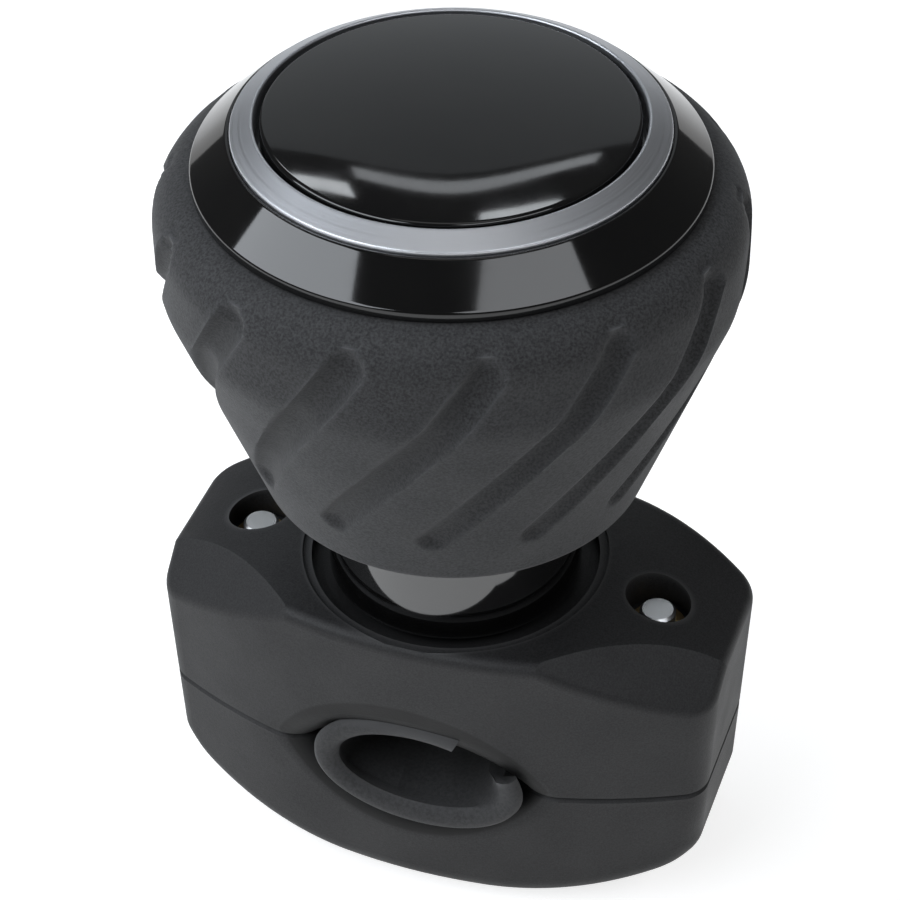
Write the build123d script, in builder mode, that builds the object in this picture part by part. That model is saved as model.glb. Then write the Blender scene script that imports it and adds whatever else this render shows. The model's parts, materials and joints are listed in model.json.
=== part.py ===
from build123d import *
from math import cos, pi, radians, sin, sqrt, tan
import os

# Steering wheel spinner knob: a hand knob on two ball bearings, over a two-piece rim clamp.
# Millimetres. The origin is on the resting face, under the spindle; the clamp's length runs along X,
# the wheel rim passes along Y, and the knob spins about Z.

os.makedirs("parts", exist_ok=True)

# Fits
running_clearance = 0.05
seat_clearance = 0.1
knob_gap = 0.6
match_tolerance = 0.01

# Clamp
clamp_half_length = 31.5
clamp_end_half_width = 8.6
clamp_corner_radius = 3.5
clamp_draft = 2.5
parting_height = 17.3
clamp_height = 37.6
clamp_edge_round = 1.5
top_flat_half_length = 16.0
top_end_drop = 4.3
facet_start_x = 14.0
facet_corner_drop = 2.8
facet_end_width = 3.6
belly_flat_half_length = 8.0
belly_rise = 4.0
belly_end_inset = 5.0
belly_end_height = 10.0
clamp_belly_round = 3.0
parting_chamfer = 0.4

# Opening for the wheel rim: two shallow saddles that meet in a point on each side
saddle_radius = 15.6
saddle_depth = 5.85
mouth_round = 3.4
sleeve_half_length = 14.2
sleeve_wall = 2.4
sleeve_tip_round = 1.0
sleeve_lip_round = 0.5
sleeve_gap_start = 5.3
sleeve_gap_width = 5.6

# Recess that the knob's neck runs in
recess_side_gap = 3.3
recess_depth = 1.8
recess_step_width = 1.0
recess_step_depth = 0.35
recess_rim = 0.5

# Clamp screws and their threaded inserts
screw_inset = 8.3
screw_radius = 2.0
screw_length = 25.0
screw_head_radius = 3.5
screw_head_height = 4.0
screw_socket_flats = 3.0
screw_socket_depth = 2.0
screw_washer_radius = 4.5
screw_washer_thickness = 0.8
screw_clearance = 0.25
screw_end_chamfer = 0.3
screw_end_cover = 2.5
insert_radius = 3.1
insert_length = 6.0
insert_below_screw_end = 2.0
insert_relief_radius = 3.6

# Spindle bolt, its washers and the lock nut
spindle_radius = 4.0
spindle_head_flats = 13.0
spindle_head_height = 5.3
spindle_above_nut = 2.15
head_pocket_overcut = 2.0
base_washer_radius = 6.0
base_washer_thickness = 2.4
top_washer_thickness = 1.4
nut_flats = 13.0
nut_hex_height = 6.2
nut_collar_radius = 6.0
nut_collar_height = 1.8
nut_ring_radius = 5.2
nut_ring_height = 1.5
nut_lip_radius = 4.6

# Ball bearings
bearing_bore_radius = 4.0
bearing_outer_radius = 11.0
bearing_width = 7.0
bearing_shoulder_width = 2.0
race_wall = 1.52
ball_count = 7
ball_clearance = 0.03
cage_wall = 1.3
cage_rail = 0.59
cage_pocket_length = 4.0
spacer_radius = 5.5

# Hub
neck_wall = 1.6
neck_flare = 0.8
neck_edge = 0.6
hub_shoulder_width = 2.0
hub_cone_inset = 1.2
bearing_seat_rise = 1.0
hub_foot_width = 1.6
nut_bay_radius = 13.0
nut_bay_depth = 3.0

# Rubber grip
grip_lift = 13.1
grip_length = 37.4
grip_radius = 30.1
grip_taper = 9.75
grip_band = 10.9
grip_wall = 5.6
grip_waist_round = 9.0
grip_shoulder_round = 5.0
grip_bottom_round = 2.0
grip_foot_step = 1.0
grip_foot_height = 3.0
groove_count = 14
groove_tool_radius = 2.0
groove_top_drop = 3.7
groove_length = 26.2
groove_top_lift = 0.6
groove_bottom_lift = 1.25
groove_top_angle = -39.0
groove_turn = 30.1
groove_turn_growth = 7.3
groove_join = 0.4

# Bezel, trim ring and cap
bezel_inset = 4.05
bezel_rim = 1.0
bezel_slope_width = 3.75
bezel_slope_height = 3.6
bezel_edge_round = 0.3
hub_rim_drop = 0.5
trim_edge_gap = 0.44
trim_width = 2.4
trim_seat_depth = 1.1
trim_thickness = 1.5
trim_slope_height = 1.3
trim_edge_chamfer = 0.2
cap_gap = 0.55
cap_ledge = 1.3
cap_rim_drop = 0.2
cap_rise = 1.7
cap_floor_drop = 1.8
cap_skirt_wall = 1.5
cap_skirt_overlap = 1.1
cap_edge_round = 0.4

# Bearing sizes, and the neck, recess and clamp that follow from them
bearing_inner_shoulder = bearing_bore_radius + bearing_shoulder_width
bearing_outer_shoulder = bearing_outer_radius - bearing_shoulder_width
ball_circle_radius = (bearing_bore_radius + bearing_outer_radius) / 2
ball_radius = (bearing_outer_radius - bearing_bore_radius) / 2 - race_wall
track_radius = ball_radius + ball_clearance
cage_height = 2 * (track_radius + cage_rail)
neck_bottom_radius = bearing_outer_radius + neck_wall
neck_top_radius = neck_bottom_radius + neck_flare
hub_foot_radius = neck_top_radius + hub_foot_width
hub_shoulder_radius = bearing_outer_radius - hub_shoulder_width
recess_radius = neck_bottom_radius + recess_side_gap
recess_step_radius = recess_radius + recess_step_width
clamp_top_half_width = recess_step_radius + recess_rim
clamp_mid_half_width = clamp_top_half_width - (clamp_height - parting_height) * tan(radians(clamp_draft))
clamp_end_height = clamp_height - top_end_drop
facet_corner_height = clamp_end_height - facet_corner_drop
belly_end_x = clamp_half_length - belly_end_inset

# Radii of the knob's top, from the grip inwards
grip_bottom_radius = grip_radius - grip_taper
hub_top_radius = grip_radius - grip_wall
bezel_radius = grip_radius - bezel_inset
bezel_top_radius = bezel_radius - bezel_slope_width
trim_outer_radius = bezel_top_radius - trim_edge_gap
trim_inner_radius = trim_outer_radius - trim_width
cap_radius = trim_inner_radius - cap_gap
cap_bore_radius = cap_radius - cap_ledge
cap_skirt_radius = cap_bore_radius - seat_clearance

# Heights of the knob, from the clamp's top upwards
grip_bottom_height = clamp_height + grip_lift
grip_top_height = grip_bottom_height + grip_length
grip_waist_height = grip_top_height - grip_band
hub_top_height = grip_top_height - hub_rim_drop
hub_cone_top_height = grip_waist_height - hub_cone_inset
bezel_rim_height = grip_top_height + bezel_rim
bezel_top_height = bezel_rim_height + bezel_slope_height
trim_seat_height = bezel_top_height - trim_seat_depth
trim_outer_height = trim_seat_height + trim_thickness
trim_inner_height = trim_outer_height + trim_slope_height
cap_rim_height = trim_inner_height - cap_rim_drop
cap_top_height = cap_rim_height + cap_rise
cap_floor_height = cap_rim_height - cap_floor_drop
cap_skirt_bottom = hub_top_height - cap_skirt_overlap
groove_top_height = grip_top_height - groove_top_drop

# Heights of the stack on the spindle
saddle_axis_drop = saddle_radius - saddle_depth
saddle_roof = parting_height + saddle_depth
recess_floor = clamp_height - recess_depth
neck_bottom = recess_floor + knob_gap
spindle_seat = saddle_roof + spindle_head_height + seat_clearance
lower_bearing_height = recess_floor + base_washer_thickness
lower_bearing_top = lower_bearing_height + bearing_width
upper_bearing_top = hub_cone_top_height + bearing_seat_rise
upper_bearing_height = upper_bearing_top - bearing_width
nut_bay_height = upper_bearing_top + nut_bay_depth
nut_seat = upper_bearing_top + top_washer_thickness
spindle_top = nut_seat + nut_hex_height + nut_collar_height + spindle_above_nut

# Clamp screws, from their ends downwards
screw_x = clamp_half_length - screw_inset
screw_sides = {"left": -screw_x, "right": screw_x}
screw_top = clamp_height - screw_end_cover
screw_head_top = screw_top - screw_length
screw_seat_height = screw_head_top + screw_washer_thickness
insert_top = screw_top - insert_below_screw_end
insert_shoulder_height = insert_top - insert_length

# A flank of the clamp is one arc: its radius follows from the widths at the middle and the end
flank_drop = clamp_mid_half_width - clamp_end_half_width
flank_radius = (clamp_half_length**2 + flank_drop**2) / (2 * flank_drop)
crown_end_x = clamp_half_length + (clamp_height - parting_height) * tan(radians(clamp_draft))


def make(part, name):
    """Name a finished piece and write it to its file."""
    part.label = name
    export_step(part, f"parts/{name}.step")


def seam_edges(part):
    """Outer edges of a clamp half along the parting face, on both sides of the opening."""
    level = part.edges().filter_by_position(Axis.Z, parting_height, parting_height)
    return level.filter_by(lambda e: abs(e.center().X) > clamp_half_length / 2)


def facet_plane(side_x):
    """Plane that cuts one front corner of the clamp's top down towards its end."""
    start_half_width = clamp_mid_half_width - flank_radius + sqrt(flank_radius**2 - facet_start_x**2)
    start = Vector(side_x * facet_start_x, -start_half_width, clamp_height)
    corner = Vector(side_x * clamp_half_length, -clamp_end_half_width, facet_corner_height)
    end = Vector(side_x * clamp_half_length, facet_end_width - clamp_end_half_width, clamp_end_height)
    normal = (corner - start).cross(end - start)
    if normal.Z < 0:
        normal = -normal
    return Plane(origin=start, z_dir=normal)


def grip_surface_radius(height):
    """Outer radius of the grip at a height, on its cone, its straight band or its shoulder."""
    cone = grip_bottom_radius + (grip_radius - grip_bottom_radius) * (height - grip_bottom_height) / (
        grip_waist_height - grip_bottom_height
    )
    above = max(0, height - (grip_top_height - grip_shoulder_round))
    shoulder = grip_radius - grip_shoulder_round + sqrt(grip_shoulder_round**2 - above**2)
    return min(cone, shoulder)


def groove_point(share):
    """Centre of the groove tool at a share of the way down: it lifts off and turns faster lower down."""
    height = groove_top_height - groove_length * share
    lift = groove_top_lift + (groove_bottom_lift - groove_top_lift) * share**2
    radius = grip_surface_radius(height) + lift
    angle = radians(groove_top_angle - groove_turn * share - groove_turn_growth * share**2)
    return Vector(radius * cos(angle), radius * sin(angle), height)


# Plan of the clamp at the parting face
with BuildSketch() as clamp_plan:
    with BuildLine():
        back = ThreePointArc(
            (-clamp_half_length, clamp_end_half_width),
            (0, clamp_mid_half_width),
            (clamp_half_length, clamp_end_half_width),
        )
        Line(back @ 1, (clamp_half_length, -clamp_end_half_width))
        front = ThreePointArc(
            (clamp_half_length, -clamp_end_half_width),
            (0, -clamp_mid_half_width),
            (-clamp_half_length, -clamp_end_half_width),
        )
        Line(front @ 1, back @ 0)
    make_face()
    fillet(clamp_plan.vertices(), clamp_corner_radius)

# Upper half of the clamp: arched top with two facets, neck recess, bolt head pocket and insert bores
with BuildPart() as upper_clamp:
    with BuildSketch(Plane.XY.offset(parting_height)):
        add(clamp_plan.sketch)
    extrude(amount=clamp_height - parting_height, taper=-clamp_draft)
    with BuildSketch(Plane.XZ.offset(-clamp_half_length)):
        with BuildLine():
            crown = TangentArc(
                (top_flat_half_length, clamp_height), (crown_end_x, clamp_end_height), tangent=(1, 0)
            )
            Polyline(
                crown @ 1,
                (crown_end_x, parting_height),
                (0, parting_height),
                (0, clamp_height),
                crown @ 0,
            )
        make_face()
        mirror(about=Plane.YZ)
    extrude(amount=2 * clamp_half_length, mode=Mode.INTERSECT)
    for side_x in (-1, 1):
        split(bisect_by=facet_plane(side_x), keep=Keep.BOTTOM)
    top_faces = upper_clamp.faces().filter_by(lambda f: f.center().Z > facet_corner_height)
    rim_edges = top_faces.edges().filter_by(lambda e: sum(e in f.edges() for f in top_faces) == 1)
    fillet(rim_edges, clamp_edge_round)
    with BuildSketch(Plane.XZ.offset(-clamp_half_length)):
        with Locations((0, parting_height - saddle_axis_drop)):
            Circle(saddle_radius)
    extrude(amount=2 * clamp_half_length, mode=Mode.SUBTRACT)
    saddle = upper_clamp.faces().filter_by(GeomType.CYLINDER).filter_by(
        lambda f: abs(f.radius - saddle_radius) < match_tolerance and f.center().Z < insert_shoulder_height
    )
    mouth_edges = saddle.edges().filter_by(lambda e: abs(e.center().Y) > clamp_end_half_width)
    fillet(mouth_edges, mouth_round)
    chamfer(seam_edges(upper_clamp), parting_chamfer)
    with BuildSketch(Plane.XY.offset(clamp_height)):
        Circle(recess_step_radius)
    extrude(amount=-recess_step_depth, mode=Mode.SUBTRACT)
    with BuildSketch(Plane.XY.offset(clamp_height)):
        Circle(recess_radius)
    extrude(amount=-recess_depth, mode=Mode.SUBTRACT)
    with BuildSketch(Plane.XY.offset(recess_floor)):
        Circle(spindle_radius + running_clearance)
    extrude(amount=-recess_floor, mode=Mode.SUBTRACT)
    with BuildSketch(Plane.XY.offset(spindle_seat)):
        RegularPolygon(spindle_head_flats / 2 + seat_clearance, 6, major_radius=False)
    extrude(amount=-spindle_head_height - head_pocket_overcut, mode=Mode.SUBTRACT)
    with BuildSketch(Plane.XY.offset(insert_shoulder_height)):
        with Locations((-screw_x, 0), (screw_x, 0)):
            Circle(insert_radius + running_clearance)
    extrude(amount=clamp_height, mode=Mode.SUBTRACT)
    with BuildSketch(Plane.XY.offset(insert_top)):
        with Locations((-screw_x, 0), (screw_x, 0)):
            Circle(insert_relief_radius)
    extrude(amount=clamp_height, mode=Mode.SUBTRACT)
    with BuildSketch(Plane.XY.offset(parting_height)):
        with Locations((-screw_x, 0), (screw_x, 0)):
            Circle(screw_radius + screw_clearance)
    extrude(amount=clamp_height, mode=Mode.SUBTRACT)
make(upper_clamp.part, "upper_clamp")

# Lower half of the clamp: its belly is flat in the middle, rises towards the ends and takes the screws
with BuildPart() as lower_clamp:
    with BuildSketch(Plane.XY.offset(parting_height)):
        add(clamp_plan.sketch)
    extrude(amount=-parting_height, taper=clamp_draft)
    with BuildSketch(Plane.XZ.offset(-clamp_half_length)):
        with BuildLine():
            belly = TangentArc((belly_flat_half_length, 0), (belly_end_x, belly_rise), tangent=(1, 0))
            corner = TangentArc(belly @ 1, (clamp_half_length, belly_end_height), tangent=belly % 1)
            Polyline(corner @ 1, (clamp_half_length, parting_height), (0, parting_height), (0, 0), belly @ 0)
        make_face()
        mirror(about=Plane.YZ)
    extrude(amount=2 * clamp_half_length, mode=Mode.INTERSECT)
    belly_edges = lower_clamp.edges().filter_by(
        lambda e: e.center().Z < belly_end_height and abs(e.center().Y) > clamp_end_half_width / 2
    )
    fillet(belly_edges.filter_by(lambda e: e.length > clamp_mid_half_width / 2), clamp_belly_round)
    with BuildSketch(Plane.XZ.offset(-clamp_half_length)):
        with Locations((0, parting_height + saddle_axis_drop)):
            Circle(saddle_radius)
    extrude(amount=2 * clamp_half_length, mode=Mode.SUBTRACT)
    lower_saddle = lower_clamp.faces().filter_by(GeomType.CYLINDER).filter_by(
        lambda f: abs(f.radius - saddle_radius) < match_tolerance
    )
    fillet(
        lower_saddle.edges().filter_by(lambda e: abs(e.center().Y) > clamp_end_half_width),
        mouth_round,
    )
    chamfer(seam_edges(lower_clamp), parting_chamfer)
    with BuildSketch():
        with Locations((-screw_x, 0), (screw_x, 0)):
            Circle(screw_washer_radius + seat_clearance)
    extrude(amount=screw_seat_height, mode=Mode.SUBTRACT)
    with BuildSketch():
        with Locations((-screw_x, 0), (screw_x, 0)):
            Circle(screw_radius + screw_clearance)
    extrude(amount=clamp_height, mode=Mode.SUBTRACT)
make(lower_clamp.part, "lower_clamp")

# Rubber sleeve that lines the opening: a split strip pressed against both saddles
with BuildPart() as rim_sleeve:
    with BuildSketch(Plane.XZ.offset(-sleeve_half_length)) as sleeve_outline:
        with Locations((0, parting_height - saddle_axis_drop)):
            Circle(saddle_radius - seat_clearance)
        with Locations((0, parting_height + saddle_axis_drop)):
            Circle(saddle_radius - seat_clearance, mode=Mode.INTERSECT)
        fillet(sleeve_outline.vertices(), sleeve_tip_round)
    extrude(amount=2 * sleeve_half_length)
    with BuildSketch(Plane.XZ.offset(-sleeve_half_length)) as rim_outline:
        with Locations((0, parting_height - saddle_axis_drop)):
            Circle(saddle_radius - sleeve_wall)
        with Locations((0, parting_height + saddle_axis_drop)):
            Circle(saddle_radius - sleeve_wall, mode=Mode.INTERSECT)
        fillet(rim_outline.vertices(), sleeve_tip_round)
    extrude(amount=2 * sleeve_half_length, mode=Mode.SUBTRACT)
    lip_edges = rim_sleeve.faces().filter_by(Axis.Y).edges()
    fillet(lip_edges, sleeve_lip_round)
    with BuildSketch(Plane.XY.offset(parting_height)):
        with Locations((sleeve_gap_start + sleeve_gap_width / 2, 0)):
            Rectangle(sleeve_gap_width, 2 * sleeve_half_length)
    extrude(amount=saddle_depth, mode=Mode.SUBTRACT)
make(rim_sleeve.part, "rim_sleeve")

# Clamp screws, their washers and the threaded inserts that they pull on
for side, side_x in screw_sides.items():
    with BuildPart() as clamp_screw:
        with BuildSketch(Plane((side_x, 0, screw_head_top))):
            Circle(screw_head_radius)
        extrude(amount=-screw_head_height)
        with BuildSketch(Plane((side_x, 0, screw_head_top))):
            Circle(screw_radius)
        extrude(amount=screw_length)
        end_edge = clamp_screw.edges().filter_by(GeomType.CIRCLE).sort_by(Axis.Z)[-1]
        chamfer(end_edge, screw_end_chamfer)
        with BuildSketch(Plane((side_x, 0, screw_head_top - screw_head_height))):
            RegularPolygon(screw_socket_flats / 2, 6, major_radius=False)
        extrude(amount=screw_socket_depth, mode=Mode.SUBTRACT)
    make(clamp_screw.part, f"{side}_clamp_screw")

    with BuildPart() as screw_washer:
        with BuildSketch(Plane((side_x, 0, screw_head_top))):
            Circle(screw_washer_radius)
            Circle(screw_radius + screw_clearance, mode=Mode.SUBTRACT)
        extrude(amount=screw_washer_thickness)
    make(screw_washer.part, f"{side}_screw_washer")

    with BuildPart() as thread_insert:
        with BuildSketch(Plane((side_x, 0, insert_shoulder_height))):
            Circle(insert_radius)
            Circle(screw_radius + running_clearance, mode=Mode.SUBTRACT)
        extrude(amount=insert_length)
    make(thread_insert.part, f"{side}_thread_insert")

# Spindle: a hex bolt whose head is held in the pocket over the sleeve
with BuildPart() as spindle_bolt:
    with BuildSketch(Plane.XY.offset(spindle_seat)):
        RegularPolygon(spindle_head_flats / 2, 6, major_radius=False)
    extrude(amount=-spindle_head_height)
    with BuildSketch(Plane.XY.offset(spindle_seat)):
        Circle(spindle_radius)
    extrude(amount=spindle_top - spindle_seat)
    chamfer(spindle_bolt.edges().filter_by(GeomType.CIRCLE).sort_by(Axis.Z)[-1], screw_end_chamfer)
make(spindle_bolt.part, "spindle_bolt")

# Washers and spacer that stack on the spindle between the clamp and the lock nut
stack = {
    "base_washer": (recess_floor, base_washer_thickness, base_washer_radius),
    "bearing_spacer": (lower_bearing_top, upper_bearing_height - lower_bearing_top, spacer_radius),
    "top_washer": (upper_bearing_top, top_washer_thickness, base_washer_radius),
}
for name, (height, thickness, radius) in stack.items():
    with BuildPart() as ring:
        with BuildSketch(Plane.XY.offset(height)):
            Circle(radius)
            Circle(spindle_radius + running_clearance, mode=Mode.SUBTRACT)
        extrude(amount=thickness)
    make(ring.part, name)

# Lock nut with a nylon ring held in its collar
with BuildPart() as lock_nut:
    with BuildSketch(Plane.XY.offset(nut_seat)):
        RegularPolygon(nut_flats / 2, 6, major_radius=False)
    extrude(amount=nut_hex_height)
    with BuildSketch(Plane.XY.offset(nut_seat + nut_hex_height)):
        Circle(nut_collar_radius)
    extrude(amount=nut_collar_height)
    with BuildSketch(Plane.XY.offset(nut_seat)):
        Circle(spindle_radius + running_clearance)
    extrude(amount=nut_hex_height + nut_collar_height, mode=Mode.SUBTRACT)
    with BuildSketch(Plane.XY.offset(nut_seat + nut_hex_height)):
        Circle(nut_ring_radius)
    extrude(amount=nut_ring_height, mode=Mode.SUBTRACT)
    with BuildSketch(Plane.XY.offset(nut_seat + nut_hex_height)):
        Circle(nut_lip_radius)
    extrude(amount=nut_collar_height, mode=Mode.SUBTRACT)
make(lock_nut.part, "lock_nut")

with BuildPart() as nut_ring:
    with BuildSketch(Plane.XY.offset(nut_seat + nut_hex_height)):
        Circle(nut_ring_radius - running_clearance)
        Circle(spindle_radius + running_clearance, mode=Mode.SUBTRACT)
    extrude(amount=nut_ring_height - running_clearance)
make(nut_ring.part, "nut_ring")

# Two deep-groove ball bearings on the spindle
for place, height in {"lower": lower_bearing_height, "upper": upper_bearing_height}.items():
    middle = height + bearing_width / 2
    with BuildPart() as outer_race:
        with BuildSketch(Plane.XY.offset(height)):
            Circle(bearing_outer_radius)
            Circle(bearing_outer_shoulder, mode=Mode.SUBTRACT)
        extrude(amount=bearing_width)
        with BuildSketch(Plane.XZ):
            with Locations((ball_circle_radius, middle)):
                Circle(track_radius)
        revolve(axis=Axis.Z, mode=Mode.SUBTRACT)
    make(outer_race.part, f"{place}_outer_race")

    with BuildPart() as inner_race:
        with BuildSketch(Plane.XY.offset(height)):
            Circle(bearing_inner_shoulder)
            Circle(bearing_bore_radius + running_clearance, mode=Mode.SUBTRACT)
        extrude(amount=bearing_width)
        with BuildSketch(Plane.XZ):
            with Locations((ball_circle_radius, middle)):
                Circle(track_radius)
        revolve(axis=Axis.Z, mode=Mode.SUBTRACT)
    make(inner_race.part, f"{place}_inner_race")

    ball_angles = [2 * pi * i / ball_count for i in range(ball_count)]
    ball_planes = [
        Plane((ball_circle_radius * cos(a), ball_circle_radius * sin(a), middle), z_dir=(cos(a), sin(a), 0))
        for a in ball_angles
    ]
    with BuildPart() as cage:
        with BuildSketch(Plane.XY.offset(middle - cage_height / 2)):
            Circle(ball_circle_radius + cage_wall / 2)
            Circle(ball_circle_radius - cage_wall / 2, mode=Mode.SUBTRACT)
        extrude(amount=cage_height)
        with Locations(*ball_planes):
            Cylinder(track_radius, cage_pocket_length, mode=Mode.SUBTRACT)
    make(cage.part, f"{place}_ball_cage")

    for number, ball_plane in enumerate(ball_planes, start=1):
        with BuildPart(ball_plane) as ball:
            Sphere(ball_radius)
        make(ball.part, f"{place}_ball_{number}")

# Hub: the neck, two bearing seats with a shoulder between them, and a bay for the lock nut
with BuildPart() as hub:
    with BuildSketch(Plane.XZ):
        with BuildLine():
            Polyline(
                (hub_shoulder_radius, neck_bottom),
                (neck_bottom_radius - neck_edge, neck_bottom),
                (neck_bottom_radius, neck_bottom + neck_edge),
                (neck_top_radius, grip_bottom_height),
                (neck_top_radius, grip_bottom_height + grip_foot_step),
                (hub_foot_radius, grip_bottom_height + grip_foot_height),
                (hub_top_radius, hub_cone_top_height),
                (hub_top_radius, hub_top_height),
                (cap_bore_radius, hub_top_height),
                (cap_bore_radius, nut_bay_height),
                (nut_bay_radius, nut_bay_height),
                (nut_bay_radius, upper_bearing_top),
                (bearing_outer_radius, upper_bearing_top),
                (bearing_outer_radius, upper_bearing_height),
                (hub_shoulder_radius, upper_bearing_height),
                (hub_shoulder_radius, neck_bottom),
            )
        make_face()
    revolve(axis=Axis.Z)
    with BuildSketch(Plane.XY.offset(neck_bottom)):
        Circle(bearing_outer_radius)
    extrude(amount=lower_bearing_top - neck_bottom, mode=Mode.SUBTRACT)
make(hub.part, "hub")

# Grip: a rubber cone with a round shoulder and spiral finger grooves
with BuildPart() as groove_cutter:
    with BuildLine() as groove_path:
        shoulder_arc = ThreePointArc(
            groove_point(0), groove_point(groove_join / 2), groove_point(groove_join)
        )
        TangentArc(
            shoulder_arc @ 1,
            groove_point(1),
            tangent=shoulder_arc % 1,
        )
    with BuildSketch(Plane(groove_path.line @ 0, z_dir=groove_path.line % 0)):
        Circle(groove_tool_radius)
    sweep()
    with Locations(groove_path.line @ 0, groove_path.line @ 1):
        Sphere(groove_tool_radius)

with BuildPart() as grip:
    with BuildSketch(Plane.XZ):
        with BuildLine():
            outside = FilletPolyline(
                (neck_top_radius, grip_bottom_height),
                (grip_bottom_radius, grip_bottom_height),
                (grip_radius, grip_waist_height),
                (grip_radius, grip_top_height),
                (hub_top_radius, grip_top_height),
                radius=[grip_bottom_round, grip_waist_round, grip_shoulder_round],
            )
            Polyline(
                outside @ 1,
                (hub_top_radius, hub_cone_top_height),
                (hub_foot_radius, grip_bottom_height + grip_foot_height),
                (neck_top_radius, grip_bottom_height + grip_foot_step),
                outside @ 0,
            )
        make_face()
    revolve(axis=Axis.Z)
    with PolarLocations(0, groove_count):
        add(groove_cutter.part, mode=Mode.SUBTRACT)
make(grip.part, "grip")

# Bezel: the gloss ring that slopes from the trim ring down over the top of the grip
with BuildPart() as bezel:
    with BuildSketch(Plane.XZ):
        with BuildLine():
            Polyline(
                (cap_bore_radius, hub_top_height),
                (hub_top_radius, hub_top_height),
                (hub_top_radius, grip_top_height),
                (bezel_radius, grip_top_height),
                (bezel_radius, bezel_rim_height),
                (bezel_top_radius, bezel_top_height),
                (trim_outer_radius + seat_clearance, bezel_top_height),
                (trim_outer_radius + seat_clearance, trim_seat_height),
                (cap_bore_radius, trim_seat_height),
                close=True,
            )
        make_face()
    revolve(axis=Axis.Z)
    rim = bezel.edges().filter_by(GeomType.CIRCLE).filter_by_position(
        Axis.Z, bezel_rim_height, bezel_rim_height
    )
    fillet(rim, bezel_edge_round)
make(bezel.part, "bezel")

# Trim ring: a thin metal cone that sits in the bezel's step, around the cap
with BuildPart() as trim_ring:
    with BuildSketch(Plane.XZ) as trim_profile:
        with BuildLine():
            Polyline(
                (trim_inner_radius, trim_seat_height),
                (trim_outer_radius, trim_seat_height),
                (trim_outer_radius, trim_outer_height),
                (trim_inner_radius, trim_inner_height),
                close=True,
            )
        make_face()
        chamfer(trim_profile.vertices().sort_by(Axis.Y)[-2:], trim_edge_chamfer)
    revolve(axis=Axis.Z)
make(trim_ring.part, "trim_ring")

# Cap: a low dome with a skirt that plugs into the bezel and the hub
dome_rise = cap_top_height - cap_rim_height
dome_radius = (cap_radius**2 + dome_rise**2) / (2 * dome_rise)
with BuildPart() as cap:
    with BuildSketch(Plane.XZ) as cap_profile:
        with BuildLine():
            dome = RadiusArc((0, cap_top_height), (cap_radius, cap_rim_height), dome_radius)
            Polyline(
                dome @ 1,
                (cap_radius, trim_seat_height),
                (cap_skirt_radius, trim_seat_height),
                (cap_skirt_radius, cap_skirt_bottom),
                (cap_skirt_radius - cap_skirt_wall, cap_skirt_bottom),
                (cap_skirt_radius - cap_skirt_wall, cap_floor_height),
                (0, cap_floor_height),
                dome @ 0,
            )
        make_face()
        fillet(cap_profile.vertices().sort_by(Axis.Y)[-2], cap_edge_round)
    revolve(axis=Axis.Z)
make(cap.part, "cap")
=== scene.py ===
import json
from math import cos, pi, radians, sin, sqrt, tan

import bmesh
import bpy
import numpy as np
from mathutils import Matrix, Vector


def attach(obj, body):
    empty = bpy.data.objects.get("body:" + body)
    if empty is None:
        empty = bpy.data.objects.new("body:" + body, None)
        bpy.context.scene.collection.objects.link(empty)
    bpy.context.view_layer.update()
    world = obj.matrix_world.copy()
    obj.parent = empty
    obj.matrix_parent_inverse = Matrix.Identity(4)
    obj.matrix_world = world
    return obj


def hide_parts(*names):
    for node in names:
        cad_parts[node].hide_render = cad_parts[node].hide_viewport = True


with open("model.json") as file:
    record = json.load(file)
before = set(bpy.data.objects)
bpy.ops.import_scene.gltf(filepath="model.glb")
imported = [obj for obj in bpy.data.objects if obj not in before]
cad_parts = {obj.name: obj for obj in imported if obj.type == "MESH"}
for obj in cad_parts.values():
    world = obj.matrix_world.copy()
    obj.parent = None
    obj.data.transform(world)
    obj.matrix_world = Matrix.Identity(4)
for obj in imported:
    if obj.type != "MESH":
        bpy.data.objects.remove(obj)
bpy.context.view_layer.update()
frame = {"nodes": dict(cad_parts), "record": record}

MM = 0.001

# Camera, fitted to the photograph: 19.5 degrees from the front towards +X, looking down 39.5 degrees
CAMERA_SIDE, CAMERA_RISE, CAMERA_ROLL = 0.3402, 0.6891, -0.0125
CAMERA_AIM = Vector((0, 0, 93.1)) * MM
CAMERA_DISTANCE, SHIFT_RIGHT, SHIFT_UP = 295.2 * MM, 0.104 * MM, 32.16 * MM
LENS, SENSOR_WIDTH, NEAREST = 120, 36, 0.01


def add_camera():
    """The photograph's camera, as the scene's own."""
    flat = cos(CAMERA_RISE)
    back = Vector((sin(CAMERA_SIDE) * flat, -cos(CAMERA_SIDE) * flat, sin(CAMERA_RISE)))
    level = Vector((cos(CAMERA_SIDE), sin(CAMERA_SIDE), 0))
    upright = back.cross(level)
    right = cos(CAMERA_ROLL) * level + sin(CAMERA_ROLL) * upright
    up = cos(CAMERA_ROLL) * upright - sin(CAMERA_ROLL) * level
    data = bpy.data.cameras.new("camera")
    data.lens = LENS
    data.sensor_width = SENSOR_WIDTH
    data.clip_start = NEAREST
    camera = bpy.data.objects.new("camera", data)
    bpy.context.scene.collection.objects.link(camera)
    place = CAMERA_AIM + CAMERA_DISTANCE * back - SHIFT_RIGHT * right - SHIFT_UP * up
    camera.matrix_world = Matrix.Translation(place) @ Matrix((right, up, back)).transposed().to_4x4()
    bpy.context.scene.camera = camera


add_camera()


# Shader nodes
OCCLUSION_RAYS = 8


def new_material(name):
    """A node material; returns it with its node tree and its shader."""
    material = bpy.data.materials.new(name)
    material.use_nodes = True
    return material, material.node_tree, material.node_tree.nodes["Principled BSDF"]


def feed(tree, value, socket):
    """Link a node's output to a socket, or set the socket to a plain value."""
    if isinstance(value, bpy.types.NodeSocket):
        tree.links.new(value, socket)
    else:
        socket.default_value = value


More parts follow.
